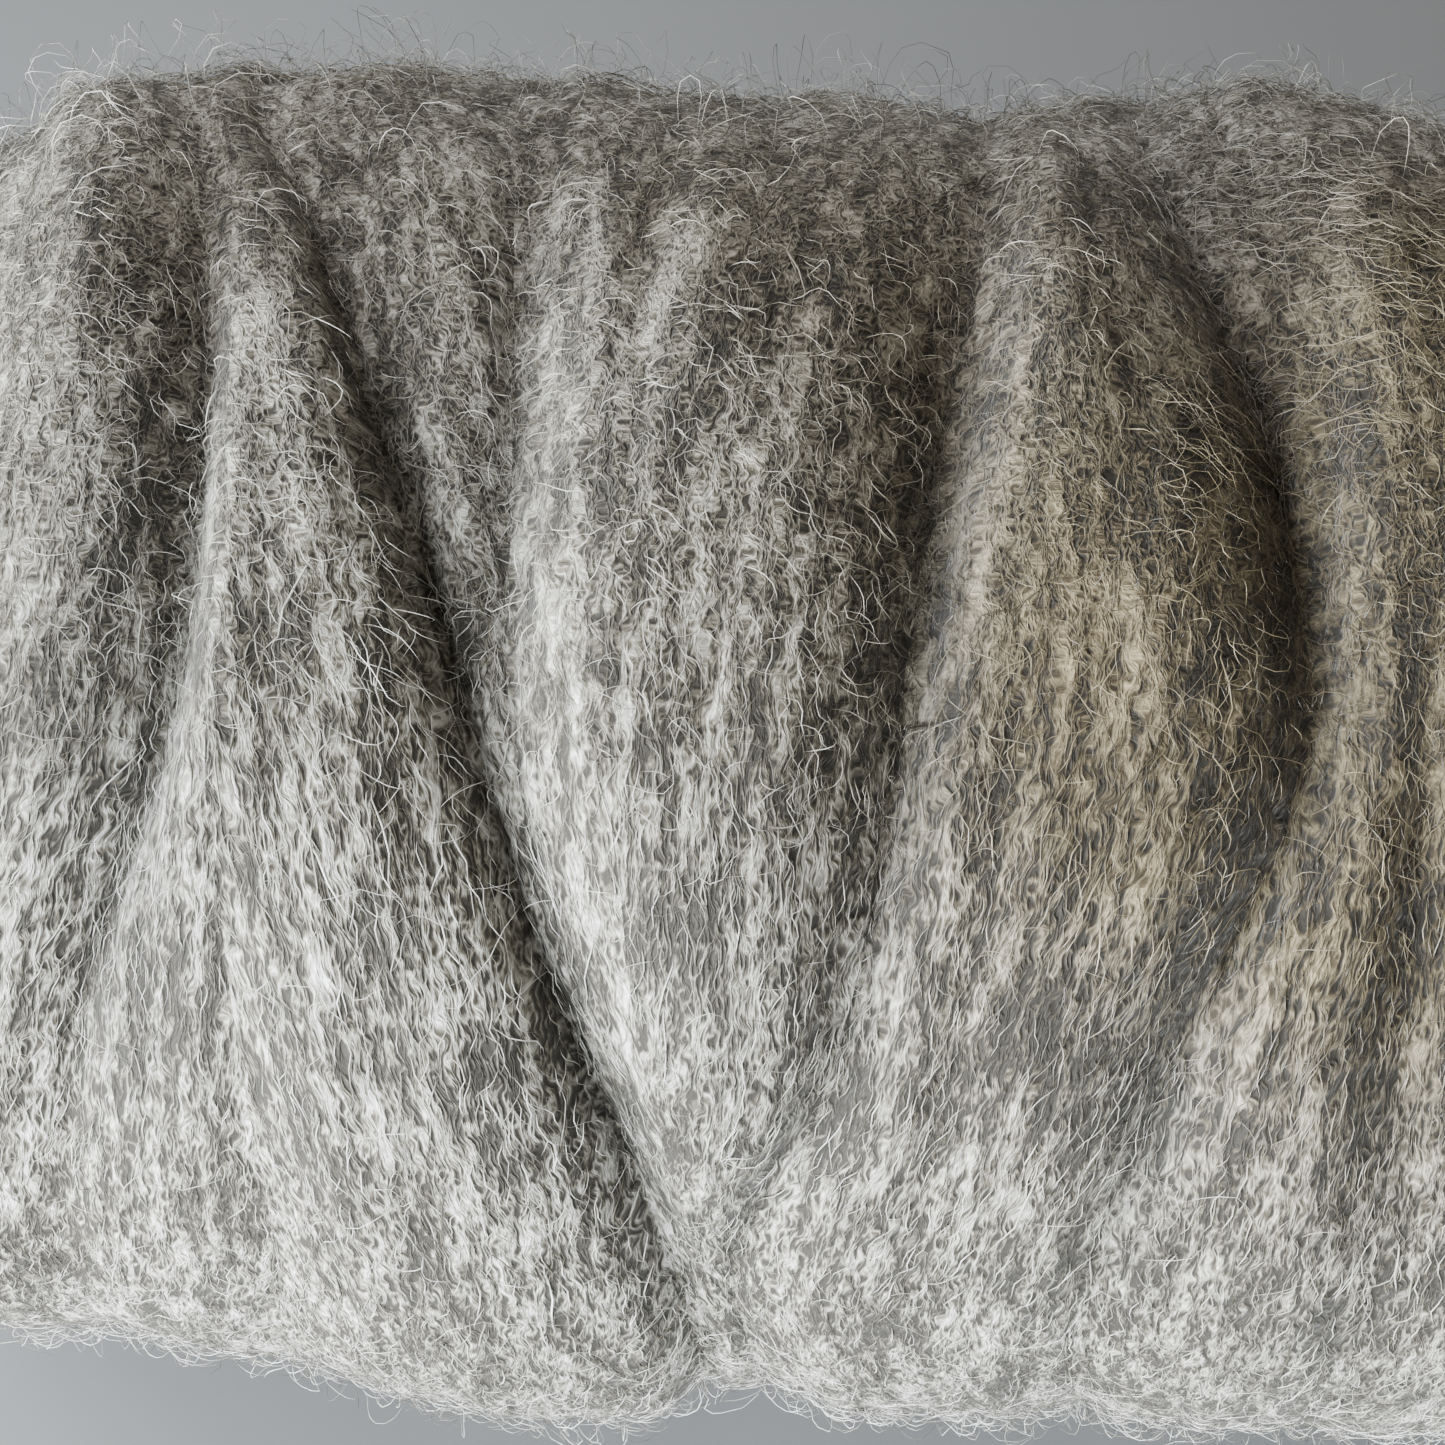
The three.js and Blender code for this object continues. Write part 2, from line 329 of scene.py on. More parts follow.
def comb_locks(mass):
    """Raises small locks that run along the turns, and stores how the wool runs for the material."""
    points = points_of(mass) / MM
    angle, place = angle_and_place(points)
    left, right = turn_edges(whole_turn(strand_of(place, angle)), angle)
    swell = np.sin(np.pi * (place - left) / (right - left)) * np.clip((right - left) / WIDE_TURN, 0, 1)
    run = run_round(angle, place)
    raised = np.zeros(len(points))
    for lock in LOCKS:
        across = (place - (left + right) / 2) / lock["across"] + lock["start"]
        heights = [noise.noise(Vector(spot)) for spot in np.column_stack([across, run / lock["along"]])]
        raised += 2 * lock["high"] * np.array(heights) * swell
    normals = np.empty(len(points) * 3)
    mass.data.vertex_normals.foreach_get("vector", normals)
    off_floor = np.clip((points[:, 2] - UNDER_FLAT) / UNDER_CALM, 0, 1)
    moved = points + normals.reshape(-1, 3) * (raised * off_floor)[:, None]
    moved[:, 2] = np.maximum(moved[:, 2], 0)
    mass.data.vertices.foreach_set("co", np.ravel(moved * MM))
    mass.data.update()
    store(mass, "wild", wildness(angle))
    # Kept for the material: brown, partly the wool's own and partly painted shade, and dark, painted shade
    # along the creases and at the listed places.
    store(mass, "brown", fleece_and_shade("brown", place, angle))
    store(mass, "dark", painted_shade(moved, place, angle))
    store_run(mass, angle, place)


def run_round(angle, place):
    """How far round, as a point on the circle that the wool takes there."""
    turn = np.radians(angle)
    girth = MEAN_GIRTH * np.interp(place, TAPE, GIRTH)
    return girth[:, None] * np.stack([np.cos(turn), np.sin(turn)], axis=-1)


def store_run(mass, angle, place):
    """For each face corner: how far it is from the middle line of the face's turn, and how far round."""
    corners = np.empty(len(mass.data.loops), int)
    mass.data.loops.foreach_get("vertex_index", corners)
    counts = np.empty(len(mass.data.polygons), int)
    mass.data.polygons.foreach_get("loop_total", counts)
    owner = np.repeat(np.arange(len(counts)), counts)
    middles = np.bincount(owner, strand_of(place, angle)[corners]) / counts
    turn = whole_turn(middles)[owner]
    left, right = turn_edges(turn, angle[corners])
    across = place[corners] - (left + right) / 2 + TURN_STEP * turn
    layer = mass.data.attributes.new("run", "FLOAT_VECTOR", "CORNER")
    layer.data.foreach_set("vector", np.ravel(np.column_stack([across, run_round(angle, place)[corners]])))


# The skin that the fibres lie on

def mean_point(place, angle):
    """A point of the mean outline and its outward direction, in millimetres."""
    along = np.interp(place, TAPE, ALONG) + ROLL_MIDDLE
    girth = np.interp(place, TAPE, GIRTH)
    before = place - SLOPE_REACH
    after = place + SLOPE_REACH
    ahead = np.interp(after, TAPE, ALONG) - np.interp(before, TAPE, ALONG)
    rise = np.interp(after, TAPE, GIRTH) - np.interp(before, TAPE, GIRTH)
    slope = np.arctan2(rise * MEAN_GIRTH, ahead)
    turn = np.radians(angle)
    point = np.stack([
        along,
        -girth * ROLL_DEPTH / 2 * np.cos(turn),
        AXIS_HEIGHT + girth * ROLL_HEIGHT / 2 * np.sin(turn),
    ], axis=-1)
    out = np.stack([-np.sin(slope), -np.cos(slope) * np.cos(turn), np.cos(slope) * np.sin(turn)], axis=-1)
    return point, out


def probe_skin(mass):
    """The mass's real surface at even steps of tape and angle, found by rays from outside."""
    tree = BVHTree.FromObject(mass, bpy.context.evaluated_depsgraph_get())
    places = np.linspace(-TAPE_END + SKIN_MARGIN, TAPE_END - SKIN_MARGIN, TAPE_STEPS)
    angles = np.arange(ANGLE_STEPS) * TURN / ANGLE_STEPS
    place, angle = np.meshgrid(places, angles)
    point, out = mean_point(place.ravel(), angle.ravel())
    starts = (point + out * PROBE_START) * MM
    skin = point.copy()
    for k, (start, way) in enumerate(zip(starts, -out)):
        hit = tree.ray_cast(Vector(start), Vector(way), PROBE_LENGTH * MM)[0]
        if hit is not None:
            skin[k] = np.array(hit) / MM
    skin = skin.reshape(ANGLE_STEPS, TAPE_STEPS, 3)
    round_way = np.roll(skin, -1, 0) - np.roll(skin, 1, 0)
    long_way = np.gradient(skin, axis=1)
    normal = np.cross(round_way, long_way)
    normal *= np.sign((normal * out.reshape(normal.shape)).sum(-1, keepdims=True))
    normal /= np.linalg.norm(normal, axis=-1, keepdims=True) + 1e-9
    return skin, normal


def on_skin(grid, place, angle):
    """Reads the probed skin between its steps."""
    first = TAPE_END - SKIN_MARGIN
    last = TAPE_STEPS - 1
    u = np.clip((place + first) / (2 * first) * last, 0, last - 0.001)
    v = (angle % TURN) / TURN * ANGLE_STEPS
    i = np.floor(u).astype(int)
    j = np.floor(v).astype(int) % ANGLE_STEPS
    s = (u - i)[..., None]
    t = (v - np.floor(v))[..., None]
    k = (j + 1) % ANGLE_STEPS
    lower = grid[j, i] * (1 - s) + grid[j, i + 1] * s
    upper = grid[k, i] * (1 - s) + grid[k, i + 1] * s
    return lower * (1 - t) + upper * t


# Fibres

def spots(dice, count, weight):
    """Random places and angles on the roll, kept where weight says, even over its area."""
    places, angles = [], []
    total = 0
    tries = 4 * count
    while total < count:
        place = dice.uniform(-TAPE_END + START_MARGIN, TAPE_END - START_MARGIN, tries)
        angle = dice.uniform(-90.0, 270.0, tries)
        share = np.interp(place, TAPE, GIRTH) * weight(place, angle)
        kept = dice.random(tries) < share
        places.append(place[kept])
        angles.append(angle[kept])
        total += kept.sum()
    return np.concatenate(places)[:count], np.concatenate(angles)[:count]


def window(value, low_edge, high_edge, soft):
    """One between two edges, falling off to nought over soft on either side."""
    rise = np.clip((value - low_edge + soft) / soft, 0, 1)
    fall = np.clip((high_edge + soft - value) / soft, 0, 1)
    return rise * fall


def hair_paths(dice, place, angle, kind):
    """Where each fibre's points lie on the roll: it starts along the turn, then wanders and crimps."""
    count = len(place)
    steps = kind["points"]
    length = dice.uniform(*kind["length"], (count, 1))
    t = np.linspace(0, 1, steps)[None, :] * length
    wild = wildness(angle)[:, None]
    heading = dice.normal(0, 1, (count, 1)) * (kind["stray"] + wild * kind["wild_stray"])
    curl = dice.normal(0, 1, (count, 1)) * (kind["curl"] + wild * kind["wild_curl"])
    crimp = dice.uniform(*kind["crimp"], (count, 1))
    phase = dice.uniform(0, 2 * np.pi, (count, 1))
    wave = kind["wave"] * (1 + wild) * np.sin(2 * np.pi * t / crimp + phase)
    drift = dice.normal(0, 1, (count, 1)) * kind["drift"] * (t - length / 2) ** 2 * np.sign(t - length / 2)
    bearing = np.radians(kind["turned"] + heading + curl * (t - length / 2) + drift) + wave
    step = length / (steps - 1)
    onward = np.cumsum(np.cos(bearing) * step, axis=1)
    sideways = np.cumsum(np.sin(bearing) * step, axis=1)
    onward -= onward.mean(axis=1, keepdims=True)
    sideways -= sideways.mean(axis=1, keepdims=True)
    girth = np.maximum(LEAST_GIRTH, np.interp(place, TAPE, GIRTH))[:, None]
    angles = angle[:, None] + np.degrees(onward / (girth * MEAN_GIRTH))
    strand = strand_of(place, angle)
    places = place_of(np.repeat(strand[:, None], steps, 1), angles) + sideways
    return np.clip(places, -TAPE_END + END_MARGIN, TAPE_END - END_MARGIN), angles


def fibre_piece(name, seed, skin, kind, material):
    """One joined mesh of many closed, tapered fibres of three sides."""
    dice = np.random.default_rng(seed)
    count = kind["count"]
    steps = kind["points"]
    place, angle = spots(dice, count, kind["weight"])
    places, angles = hair_paths(dice, place, angle, kind)
    surface = on_skin(skin[0], places, angles)
    normal = on_skin(skin[1], places, angles)
    normal /= np.linalg.norm(normal, axis=-1, keepdims=True) + 1e-9
    share = np.linspace(0, 1, steps)[None, :]
    base = dice.uniform(*kind["sunk"], (count, 1))
    lift = kind["lift"](dice, count, angle)[:, None]
    shape = kind["arch"](share, dice.random((count, 1)))
    height = base + lift * shape
    centre = surface + normal * height[..., None]
    taper = np.sin(np.pi * np.clip(share, 0.001, 0.999)) ** TAPER
    thick = dice.uniform(*kind["thick"], (count, 1)) * taper
    centre[..., 2] = np.maximum(centre[..., 2], FLOOR_GAP)
    vertices, faces, cells = tubes(centre, normal, thick / 2, kind["flat"])
    piece = make_mesh(name, vertices * MM, faces)
    # Painted shade: fibres are made darker towards the top of the roll, where the wool is tousled, by each
    # kind's shade.
    shaded = 1 - kind["shade"] * wildness(angle)
    tone = (kind["tone"](dice, count) * shaded)[:, None]
    # Painted highlight along each fibre: brightest at its middle, falling to root at its ends, which is
    # painted shade where they sink into the wool.
    glint = kind["root"] + (1 - kind["root"]) * np.sin(np.pi * share) ** 0.8
    along = np.repeat(np.arange(steps), [1] + [SIDES] * (steps - 2) + [1])
    store(piece, "tone", (tone * glint)[:, along])
    # Kept for the material: brown, partly the wool's own and partly painted shade, and dark, painted shade
    # along the creases and at the listed places.
    store(piece, "brown", fleece_and_shade("brown", places, angles)[:, along])
    store(piece, "dark", painted_shade(surface, places, angles)[:, along])
    bake_map(piece, cells, count)
    belongs(piece, material)


def tubes(centre, normal, radius, flat):
    """Points and triangles of closed tubes with pointed ends, and each corner's place in its bake cell."""
    count, steps, _ = centre.shape
    tangent = np.gradient(centre, axis=1)
    tangent /= np.linalg.norm(tangent, axis=-1, keepdims=True) + 1e-9
    side = np.cross(tangent, normal)
    side /= np.linalg.norm(side, axis=-1, keepdims=True) + 1e-9
    up = np.cross(side, tangent)
    rings = []
    for k in range(SIDES):
        turn = 2 * np.pi * k / SIDES + np.pi / 2
        rings.append(centre + radius[..., None] * (np.cos(turn) * side + flat * np.sin(turn) * up))
    rings = np.stack(rings, axis=2)[:, 1:-1]
    inner = steps - 2
    body = rings.reshape(count, inner * SIDES, 3)
    vertices = np.concatenate([centre[:, :1], body, centre[:, -1:]], axis=1)
    last = inner * SIDES + 1
    pattern = []
    cell = []
    for k in range(SIDES):
        n = (k + 1) % SIDES
        pattern.append((0, 1 + n, 1 + k))
        cell.append(((0, k + 0.5), (1, k + 1), (1, k)))
        for r in range(inner - 1):
            a = 1 + SIDES * r + k
            b = 1 + SIDES * r + n
            pattern.append((a, b, b + SIDES))
            cell.append(((r + 1, k), (r + 1, k + 1), (r + 2, k + 1)))
            pattern.append((a, b + SIDES, a + SIDES))
            cell.append(((r + 1, k), (r + 2, k + 1), (r + 2, k)))
        end = 1 + SIDES * (inner - 1)
        pattern.append((last, end + k, end + n))
        cell.append(((inner + 1, k + 0.5), (inner, k), (inner, k + 1)))
    pattern = np.array(pattern)
    cell = np.array(cell, float) / np.array([steps - 1, SIDES])
    per_fibre = last + 1
    faces = (pattern[None] + per_fibre * np.arange(count)[:, None, None]).reshape(-1, 3)
    return vertices.reshape(-1, 3), faces, cell


def make_mesh(name, vertices, faces):
    """A piece from its points, in metres, and its triangles."""
    mesh = bpy.data.meshes.new(name)
    mesh.vertices.add(len(vertices))
    mesh.vertices.foreach_set("co", np.ravel(vertices))
    mesh.loops.add(faces.size)
    mesh.loops.foreach_set("vertex_index", np.ravel(faces).astype(np.int32))
    mesh.polygons.add(len(faces))
    mesh.polygons.foreach_set("loop_start", np.arange(0, faces.size, 3, dtype=np.int32))
    mesh.polygons.foreach_set("use_smooth", np.ones(len(faces), bool))
    mesh.update(calc_edges=True)
    mesh.validate()
    piece = bpy.data.objects.new(name, mesh)
    bpy.context.scene.collection.objects.link(piece)
    return piece


def bake_map(piece, cells, count):
    """A map for baking, with a small square of its own for each fibre."""
    side = math.ceil(math.sqrt(count))
    corner = np.stack([np.arange(count) % side, np.arange(count) // side], axis=-1)
    inset = 0.1 + 0.8 * cells.reshape(-1, 2)
    uv = (corner[:, None, :] + inset[None]) / side
    layer = piece.data.uv_layers.new(name="OFBake")
    layer.data.foreach_set("uv", np.ravel(uv))


# How each kind of fibre lies

# Bands round the roll, in degrees: where each begins and ends, and over how much it fades out.
FRONT_BAND = (-38.0, 122.0, 14.0)
TOP_BAND = (52.0, 136.0, 26.0)
TOUSLED_BAND = (66.0, 150.0, 30.0)
FAR_BAND = (100.0, 134.0, 14.0)
HIGH_BAND = (96.0, 134.0, 14.0)
NEAR_BAND = (-48.0, -14.0, 14.0)
LOW_BAND = (-46.0, -26.0, 12.0)

# The part of the roll that shows, by tape.
LEFT = -62.0
RIGHT = 40.0


def facing(place, angle):
    """One on the side that shows most, less round the back and at the ends."""
    return window(place, LEFT, RIGHT, 14.0) * window(angle, *FRONT_BAND)


def elsewhere_weight(place, angle):
    """All round, but sparse where the finer fibres lie."""
    return 1.0 - 0.8 * facing(place, angle)


def top_weight(place, angle):
    """Over the top, and along the lower outline."""
    return (window(angle, *TOP_BAND) + window(angle, *LOW_BAND)) * window(place, LEFT, RIGHT, 20.0)


def halo_weight(place, angle):
    """Thickest along the outlines seen from the front, some all over."""
    outlines = window(angle, *FAR_BAND) + window(angle, *NEAR_BAND)
    along = window(place, LEFT, RIGHT, 20.0)
    return 0.15 + 0.1 * facing(place, angle) + 0.75 * outlines * along


# Where the swept locks lie, as the fleece's places are given.
SWEPT_PLACES = [
    dict(place=37, angle=86, wide=9, high=9),
    dict(place=22, angle=74, wide=4, high=6),
    dict(place=27, angle=94, wide=8, high=7),
]


def swept_weight(place, angle):
    """A few locks that lie across the turns, at the right of the top."""
    total = np.zeros(np.shape(place))
    for lock in SWEPT_PLACES:
        off = ((place + CREASE_ZERO - lock["place"]) / lock["wide"]) ** 2
        total += np.exp(-off - ((angle - lock["angle"]) / lock["high"]) ** 2)
    return np.clip(total, 0, 1)


def wildness(angle):
    """Combed on the front, tousled towards the top."""
    return window(angle, *TOUSLED_BAND)


# Where the wool is painted browner or darker: how far from the creases' zero, at what angle, how brown,
# how dark, and over what width and how many degrees. Brown is partly the carded wool's own brown and partly
# painted shade, since its tint darkens too; dark is painted shade, laid mostly along the creases.
FLEECE_AND_SHADE_PLACES = [
    dict(place=13, angle=50, brown=0.95, dark=0.22, wide=17, high=34),
    dict(place=36, angle=42, brown=0.95, dark=0.3, wide=16, high=38),
    dict(place=-4, angle=88, brown=0.5, dark=0.0, wide=20, high=26),
    dict(place=-16, angle=80, brown=0.1, dark=0.3, wide=8, high=20),
    dict(place=32, angle=86, brown=0.6, dark=0.2, wide=12, high=22),
    dict(place=5.2, angle=58, brown=0.0, dark=0.5, wide=2.5, high=18),
    dict(place=-42, angle=92, brown=0.4, dark=0.0, wide=18, high=30),
    dict(place=-42, angle=48, brown=0.0, dark=0.75, wide=7, high=26),
    dict(place=-5, angle=26, brown=0.0, dark=0.4, wide=7, high=22),
    dict(place=17, angle=16, brown=0.0, dark=0.6, wide=2.5, high=18),
    dict(place=-36, angle=190, brown=0.7, dark=0.2, wide=20, high=50),
    dict(place=22, angle=218, brown=0.8, dark=0.0, wide=22, high=50),
    dict(place=-82, angle=50, brown=0.5, dark=0.0, wide=22, high=60),
    dict(place=84, angle=120, brown=0.7, dark=0.1, wide=22, high=80),
]


# Painted shade deep in a crease: from how deep and to how deep the wool is painted darker, in millimetres,
# and how much.
CREASE_SHADE = {"from": 1.4, "to": 4.6, "much": 0.6}


def fleece_and_shade(kind, place, angle):
    """How much brown or dark is laid at some places, from nought to one: brown partly the wool's own,
    partly painted shade; dark painted shade.
    """
    total = np.zeros(np.shape(place))
    for patch in FLEECE_AND_SHADE_PLACES:
        away = (angle - patch["angle"] + 180) % TURN - 180
        off = ((place + CREASE_ZERO - patch["place"]) / patch["wide"]) ** 2 + (away / patch["high"]) ** 2
        total += patch[kind] * np.exp(-off)
    return np.clip(total, 0, 1)


def painted_shade(points, place, angle):
    """How much painted shade the wool gets: the painted dark of the listed places, and more deep in the
    creases.
    """
    mean, out = mean_point(place, angle)
    depth = -((points - mean) * out).sum(-1)
    # Painted shade: the deeper below the mean outline, the darker.
    deep = np.clip((depth - CREASE_SHADE["from"]) / (CREASE_SHADE["to"] - CREASE_SHADE["from"]), 0, 1)
    return np.clip(fleece_and_shade("dark", place, angle) + CREASE_SHADE["much"] * deep, 0, 1)


# The share of rising fibres that end free.
FREE_ENDS = 0.3


def low_arch(share, chance):
    """Both ends in the wool, the middle just over it."""
    return np.sin(np.pi * share) * np.ones_like(chance)


def rising_arch(share, chance):
    """Rooted at one end, with the other end free, or looped back in."""
    free = share ** 0.8
    loop = np.sin(np.pi * share)
    return np.where(chance < FREE_ENDS, free, loop)


def small_lift(dice, count, angle):
    """Close to the wool, less so where it is tousled."""
    return 0.1 + 0.25 * dice.random(count) + 0.4 * wildness(angle) * dice.random(count)


def fuzzy_lift(dice, count, angle):
    """Most stay low, a few stand well out."""
    return 0.15 + 1.5 * dice.random(count) ** 2


def halo_lift(dice, count, angle):
    """Low all over, up to twice as high along the top."""
    return (0.3 + 2.0 * dice.random(count) ** 2) * (1 + window(angle, *HIGH_BAND))


def mixed_tone(dice, count):
    """Undyed grey is white, grey and dark brown fibres carded together."""
    draw = dice.random(count)
    tone = np.where(draw < 0.34, dice.uniform(0.05, 0.3, count), dice.uniform(0.4, 0.8, count))
    return np.where(draw > 0.75, dice.uniform(0.85, 1.0, count), tone)


def pale_tone(dice, count):
    """Mostly white and pale grey, as the fine fibres are."""
    draw = dice.random(count)
    return np.where(draw < 0.3, dice.uniform(0.05, 0.4, count), dice.uniform(0.6, 1.0, count))


# The kinds of fibre. In millimetres: length, thick, how far sunk in or raised, and one wave of crimp.
# In degrees: turned from the way the turns run, stray from that, and curl and drift along it. The wild
# ones are added where the wool is tousled. flat is the section's height to its width, wave the swing of
# the crimp, root the tone at the ends, as painted shade where they sink in, under a painted highlight along
# the middle, and shade how much darker fibres are painted towards the tousled top, as painted shade.
WISPS = dict(
    count=6200, points=6, length=(2.2, 5.0), thick=(0.06, 0.11), flat=0.6, sunk=(-0.04, 0.04), root=0.3,
    stray=9.0, wild_stray=26.0, curl=4.0, wild_curl=8.0, drift=0.6, crimp=(1.9, 3.4), wave=0.28,
    shade=0.4, turned=0.0, weight=facing, lift=small_lift, arch=low_arch, tone=mixed_tone,
)
FINE = dict(
    count=6500, points=7, length=(1.8, 4.2), thick=(0.04, 0.065), flat=1.0, sunk=(-0.03, 0.12), root=0.3,
    stray=15.0, wild_stray=40.0, curl=9.0, wild_curl=16.0, drift=1.4, crimp=(1.8, 3.2), wave=0.34,
    shade=0.25, turned=0.0, weight=facing, lift=small_lift, arch=low_arch, tone=pale_tone,
)
CURLS = dict(
    count=6500, points=7, length=(1.6, 3.8), thick=(0.035, 0.06), flat=1.0, sunk=(0.0, 0.3), root=0.4,
    stray=60.0, wild_stray=60.0, curl=34.0, wild_curl=14.0, drift=3.6, crimp=(2.5, 4.0), wave=0.15,
    shade=0.1, turned=0.0, weight=top_weight, lift=fuzzy_lift, arch=rising_arch, tone=pale_tone,
)
SWEPT = dict(
    count=700, points=9, length=(4.0, 9.0), thick=(0.03, 0.055), flat=1.0, sunk=(0.0, 0.6), root=0.35,
    stray=20.0, wild_stray=20.0, curl=10.0, wild_curl=8.0, drift=0.7, crimp=(3.0, 5.5), wave=0.3,
    shade=0.0, turned=106.0, weight=swept_weight, lift=small_lift, arch=low_arch, tone=pale_tone,
)
ROUND = dict(
    count=3000, points=6, length=(4.0, 9.0), thick=(0.1, 0.18), flat=0.5, sunk=(-0.06, 0.05), root=0.3,
    stray=10.0, wild_stray=25.0, curl=3.0, wild_curl=8.0, drift=0.4, crimp=(4.0, 7.0), wave=0.2,
    shade=0.35, turned=0.0, weight=elsewhere_weight, lift=small_lift, arch=low_arch, tone=mixed_tone,
)
HALO = dict(
    count=3900, points=9, length=(2.4, 7.5), thick=(0.03, 0.05), flat=1.0, sunk=(-0.1, 0.2), root=0.5,
    stray=70.0, wild_stray=40.0, curl=34.0, wild_curl=6.0, drift=3.0, crimp=(2.4, 4.2), wave=0.3,
    shade=0.0, turned=0.0, weight=halo_weight, lift=halo_lift, arch=rising_arch, tone=pale_tone,
)


# Materials

class Recipe:
    """A small helper to lay out a material's nodes in the order that they are read."""

    def __init__(self, name):
        self.material = bpy.data.materials.new(name)
        self.material.use_nodes = True
        self.tree = self.material.node_tree
        self.shader = self.tree.nodes["Principled BSDF"]

    def add(self, kind, inputs=None, **settings):
        node = self.tree.nodes.new(kind)
        for key, value in settings.items():
            setattr(node, key, value)
        for key, value in (inputs or {}).items():
            self.feed(node.inputs[key], value)
        return node

    def feed(self, socket, value):
        if isinstance(value, bpy.types.NodeSocket):
            self.tree.links.new(value, socket)
        else:
            socket.default_value = value

    def ramp(self, factor, stops):
        node = self.add("ShaderNodeValToRGB", {"Fac": factor})
        while len(node.color_ramp.elements) > 1:
            node.color_ramp.elements.remove(node.color_ramp.elements[-1])
        for k, (place, colour) in enumerate(stops):
            stop = node.color_ramp.elements[0] if k == 0 else node.color_ramp.elements.new(place)
            stop.position = place
            stop.color = (*colour, 1.0)
        return node.outputs["Color"]

    def math(self, operation, a, b=0.0):
        node = self.add("ShaderNodeMath", {0: a, 1: b}, operation=operation)
        return node.outputs[0]

    def noise(self, vector, detail=2.0, rough=0.5):
        inputs = {"Vector": vector, "Scale": 1.0, "Detail": detail, "Roughness": rough}
        return self.add("ShaderNodeTexNoise", inputs).outputs["Fac"]

    def mix(self, share, calm, tousled):
        """A value between two, by a share from nought to one."""
        inputs = {"Value": share, "To Min": calm, "To Max": tousled}
        return self.add("ShaderNodeMapRange", inputs).outputs["Result"]

    def blend(self, share, calm, tousled):
        """The same between two fields."""
        calm_part = self.math("MULTIPLY", calm, self.math("SUBTRACT", 1.0, share))
        return self.math("ADD", calm_part, self.math("MULTIPLY", tousled, share))

    def tinted_and_shaded(self, colour):
        """A colour made browner and darker by the stored brown and dark: partly the wool's own brown,
        partly painted shade.
        """
        for kind, tint in FLEECE_AND_SHADE_TINTS.items():
            much = self.add("ShaderNodeAttribute", attribute_name=kind).outputs["Fac"]
            node = self.add("ShaderNodeMix", data_type="RGBA", blend_type="MULTIPLY")
            sockets = {socket.identifier: socket for socket in node.inputs}
            self.feed(sockets["Factor_Float"], much)
            self.feed(sockets["A_Color"], colour)
            self.feed(sockets["B_Color"], (*tint, 1.0))
            colour = next(socket for socket in node.outputs if socket.identifier == "Result_Color")
        return colour

    def net(self, vector):
        """Pale lines that branch and join round dark gaps, from nought to about two."""
        inputs = {"Vector": vector, "Scale": 1.0, "Detail": 2.0, "Roughness": 0.6}
        inputs.update({"Offset": 0.9, "Gain": 2.0})
        node = self.add("ShaderNodeTexNoise", noise_type="RIDGED_MULTIFRACTAL", normalize=False)
        for key, value in inputs.items():
            self.feed(node.inputs[key], value)
        return node.outputs["Fac"]

    def stretch(self, vector, across, along):
        """The run scaled so that one unit is across by along, in millimetres."""
        scale = (1 / across, 1 / along, 1 / along)
        return self.add("ShaderNodeMapping", {"Vector": vector, "Scale": scale}).outputs["Vector"]


DARK_WOOL = (0.022, 0.019, 0.014)
TAUPE_WOOL = (0.12, 0.107, 0.083)
GREY_WOOL = (0.30, 0.292, 0.262)
PALE_WOOL = (0.60, 0.597, 0.565)
WHITE_WOOL = (0.86, 0.865, 0.855)
FLOOR_GREY = (0.2, 0.208, 0.22)
# Tints for the stored brown and dark: the brown browns and darkens, partly the wool's own brown and partly
# painted shade; the grey dark paints shade.
FLEECE_AND_SHADE_TINTS = {"brown": (0.4, 0.325, 0.205), "dark": (0.4, 0.4, 0.4)}


# The imported wool's pattern: how far across the turns and along them one unit of each part is, in
# millimetres, how much each part weighs, and the tone and contrast of combed and of tousled wool. The
# tousled middle is set higher, so the top of the roll is painted a little darker than the combed front:
# painted shade.
UNITS = {
    "crimp": (1.1, 1.9),
    "combed": (0.24, 1.2),
    "tousled": (0.26, 0.55),
    "locks": (0.55, 2.2),
    "streaks": (1.2, 7.5),
    "patches": (5.0, 11.0),
}
WEIGHTS = {"lines": 0.27, "locks": 0.7, "streaks": 0.7, "patches": 0.4}
PUSH = (1.1, 1.9)
MIDDLE = (1.325, 1.34)
CONTRAST = (1.35, 1.05)
MEAN_TONE = 0.57
BUMP_DEPTH = 0.36


def fibre_material():
    """White to dark brown fibres, by the tone that each one keeps, with the wool's own gloss."""
    recipe = Recipe("single_fibres")
    tone = recipe.add("ShaderNodeAttribute", attribute_name="tone").outputs["Fac"]
    stops = [(0.0, DARK_WOOL), (0.25, TAUPE_WOOL), (0.55, GREY_WOOL), (0.8, PALE_WOOL), (1.0, WHITE_WOOL)]
    recipe.feed(recipe.shader.inputs["Base Color"], recipe.tinted_and_shaded(recipe.ramp(tone, stops)))
    recipe.shader.inputs["Roughness"].default_value = 0.33
    recipe.shader.inputs["Specular IOR Level"].default_value = 0.85
    return recipe.material


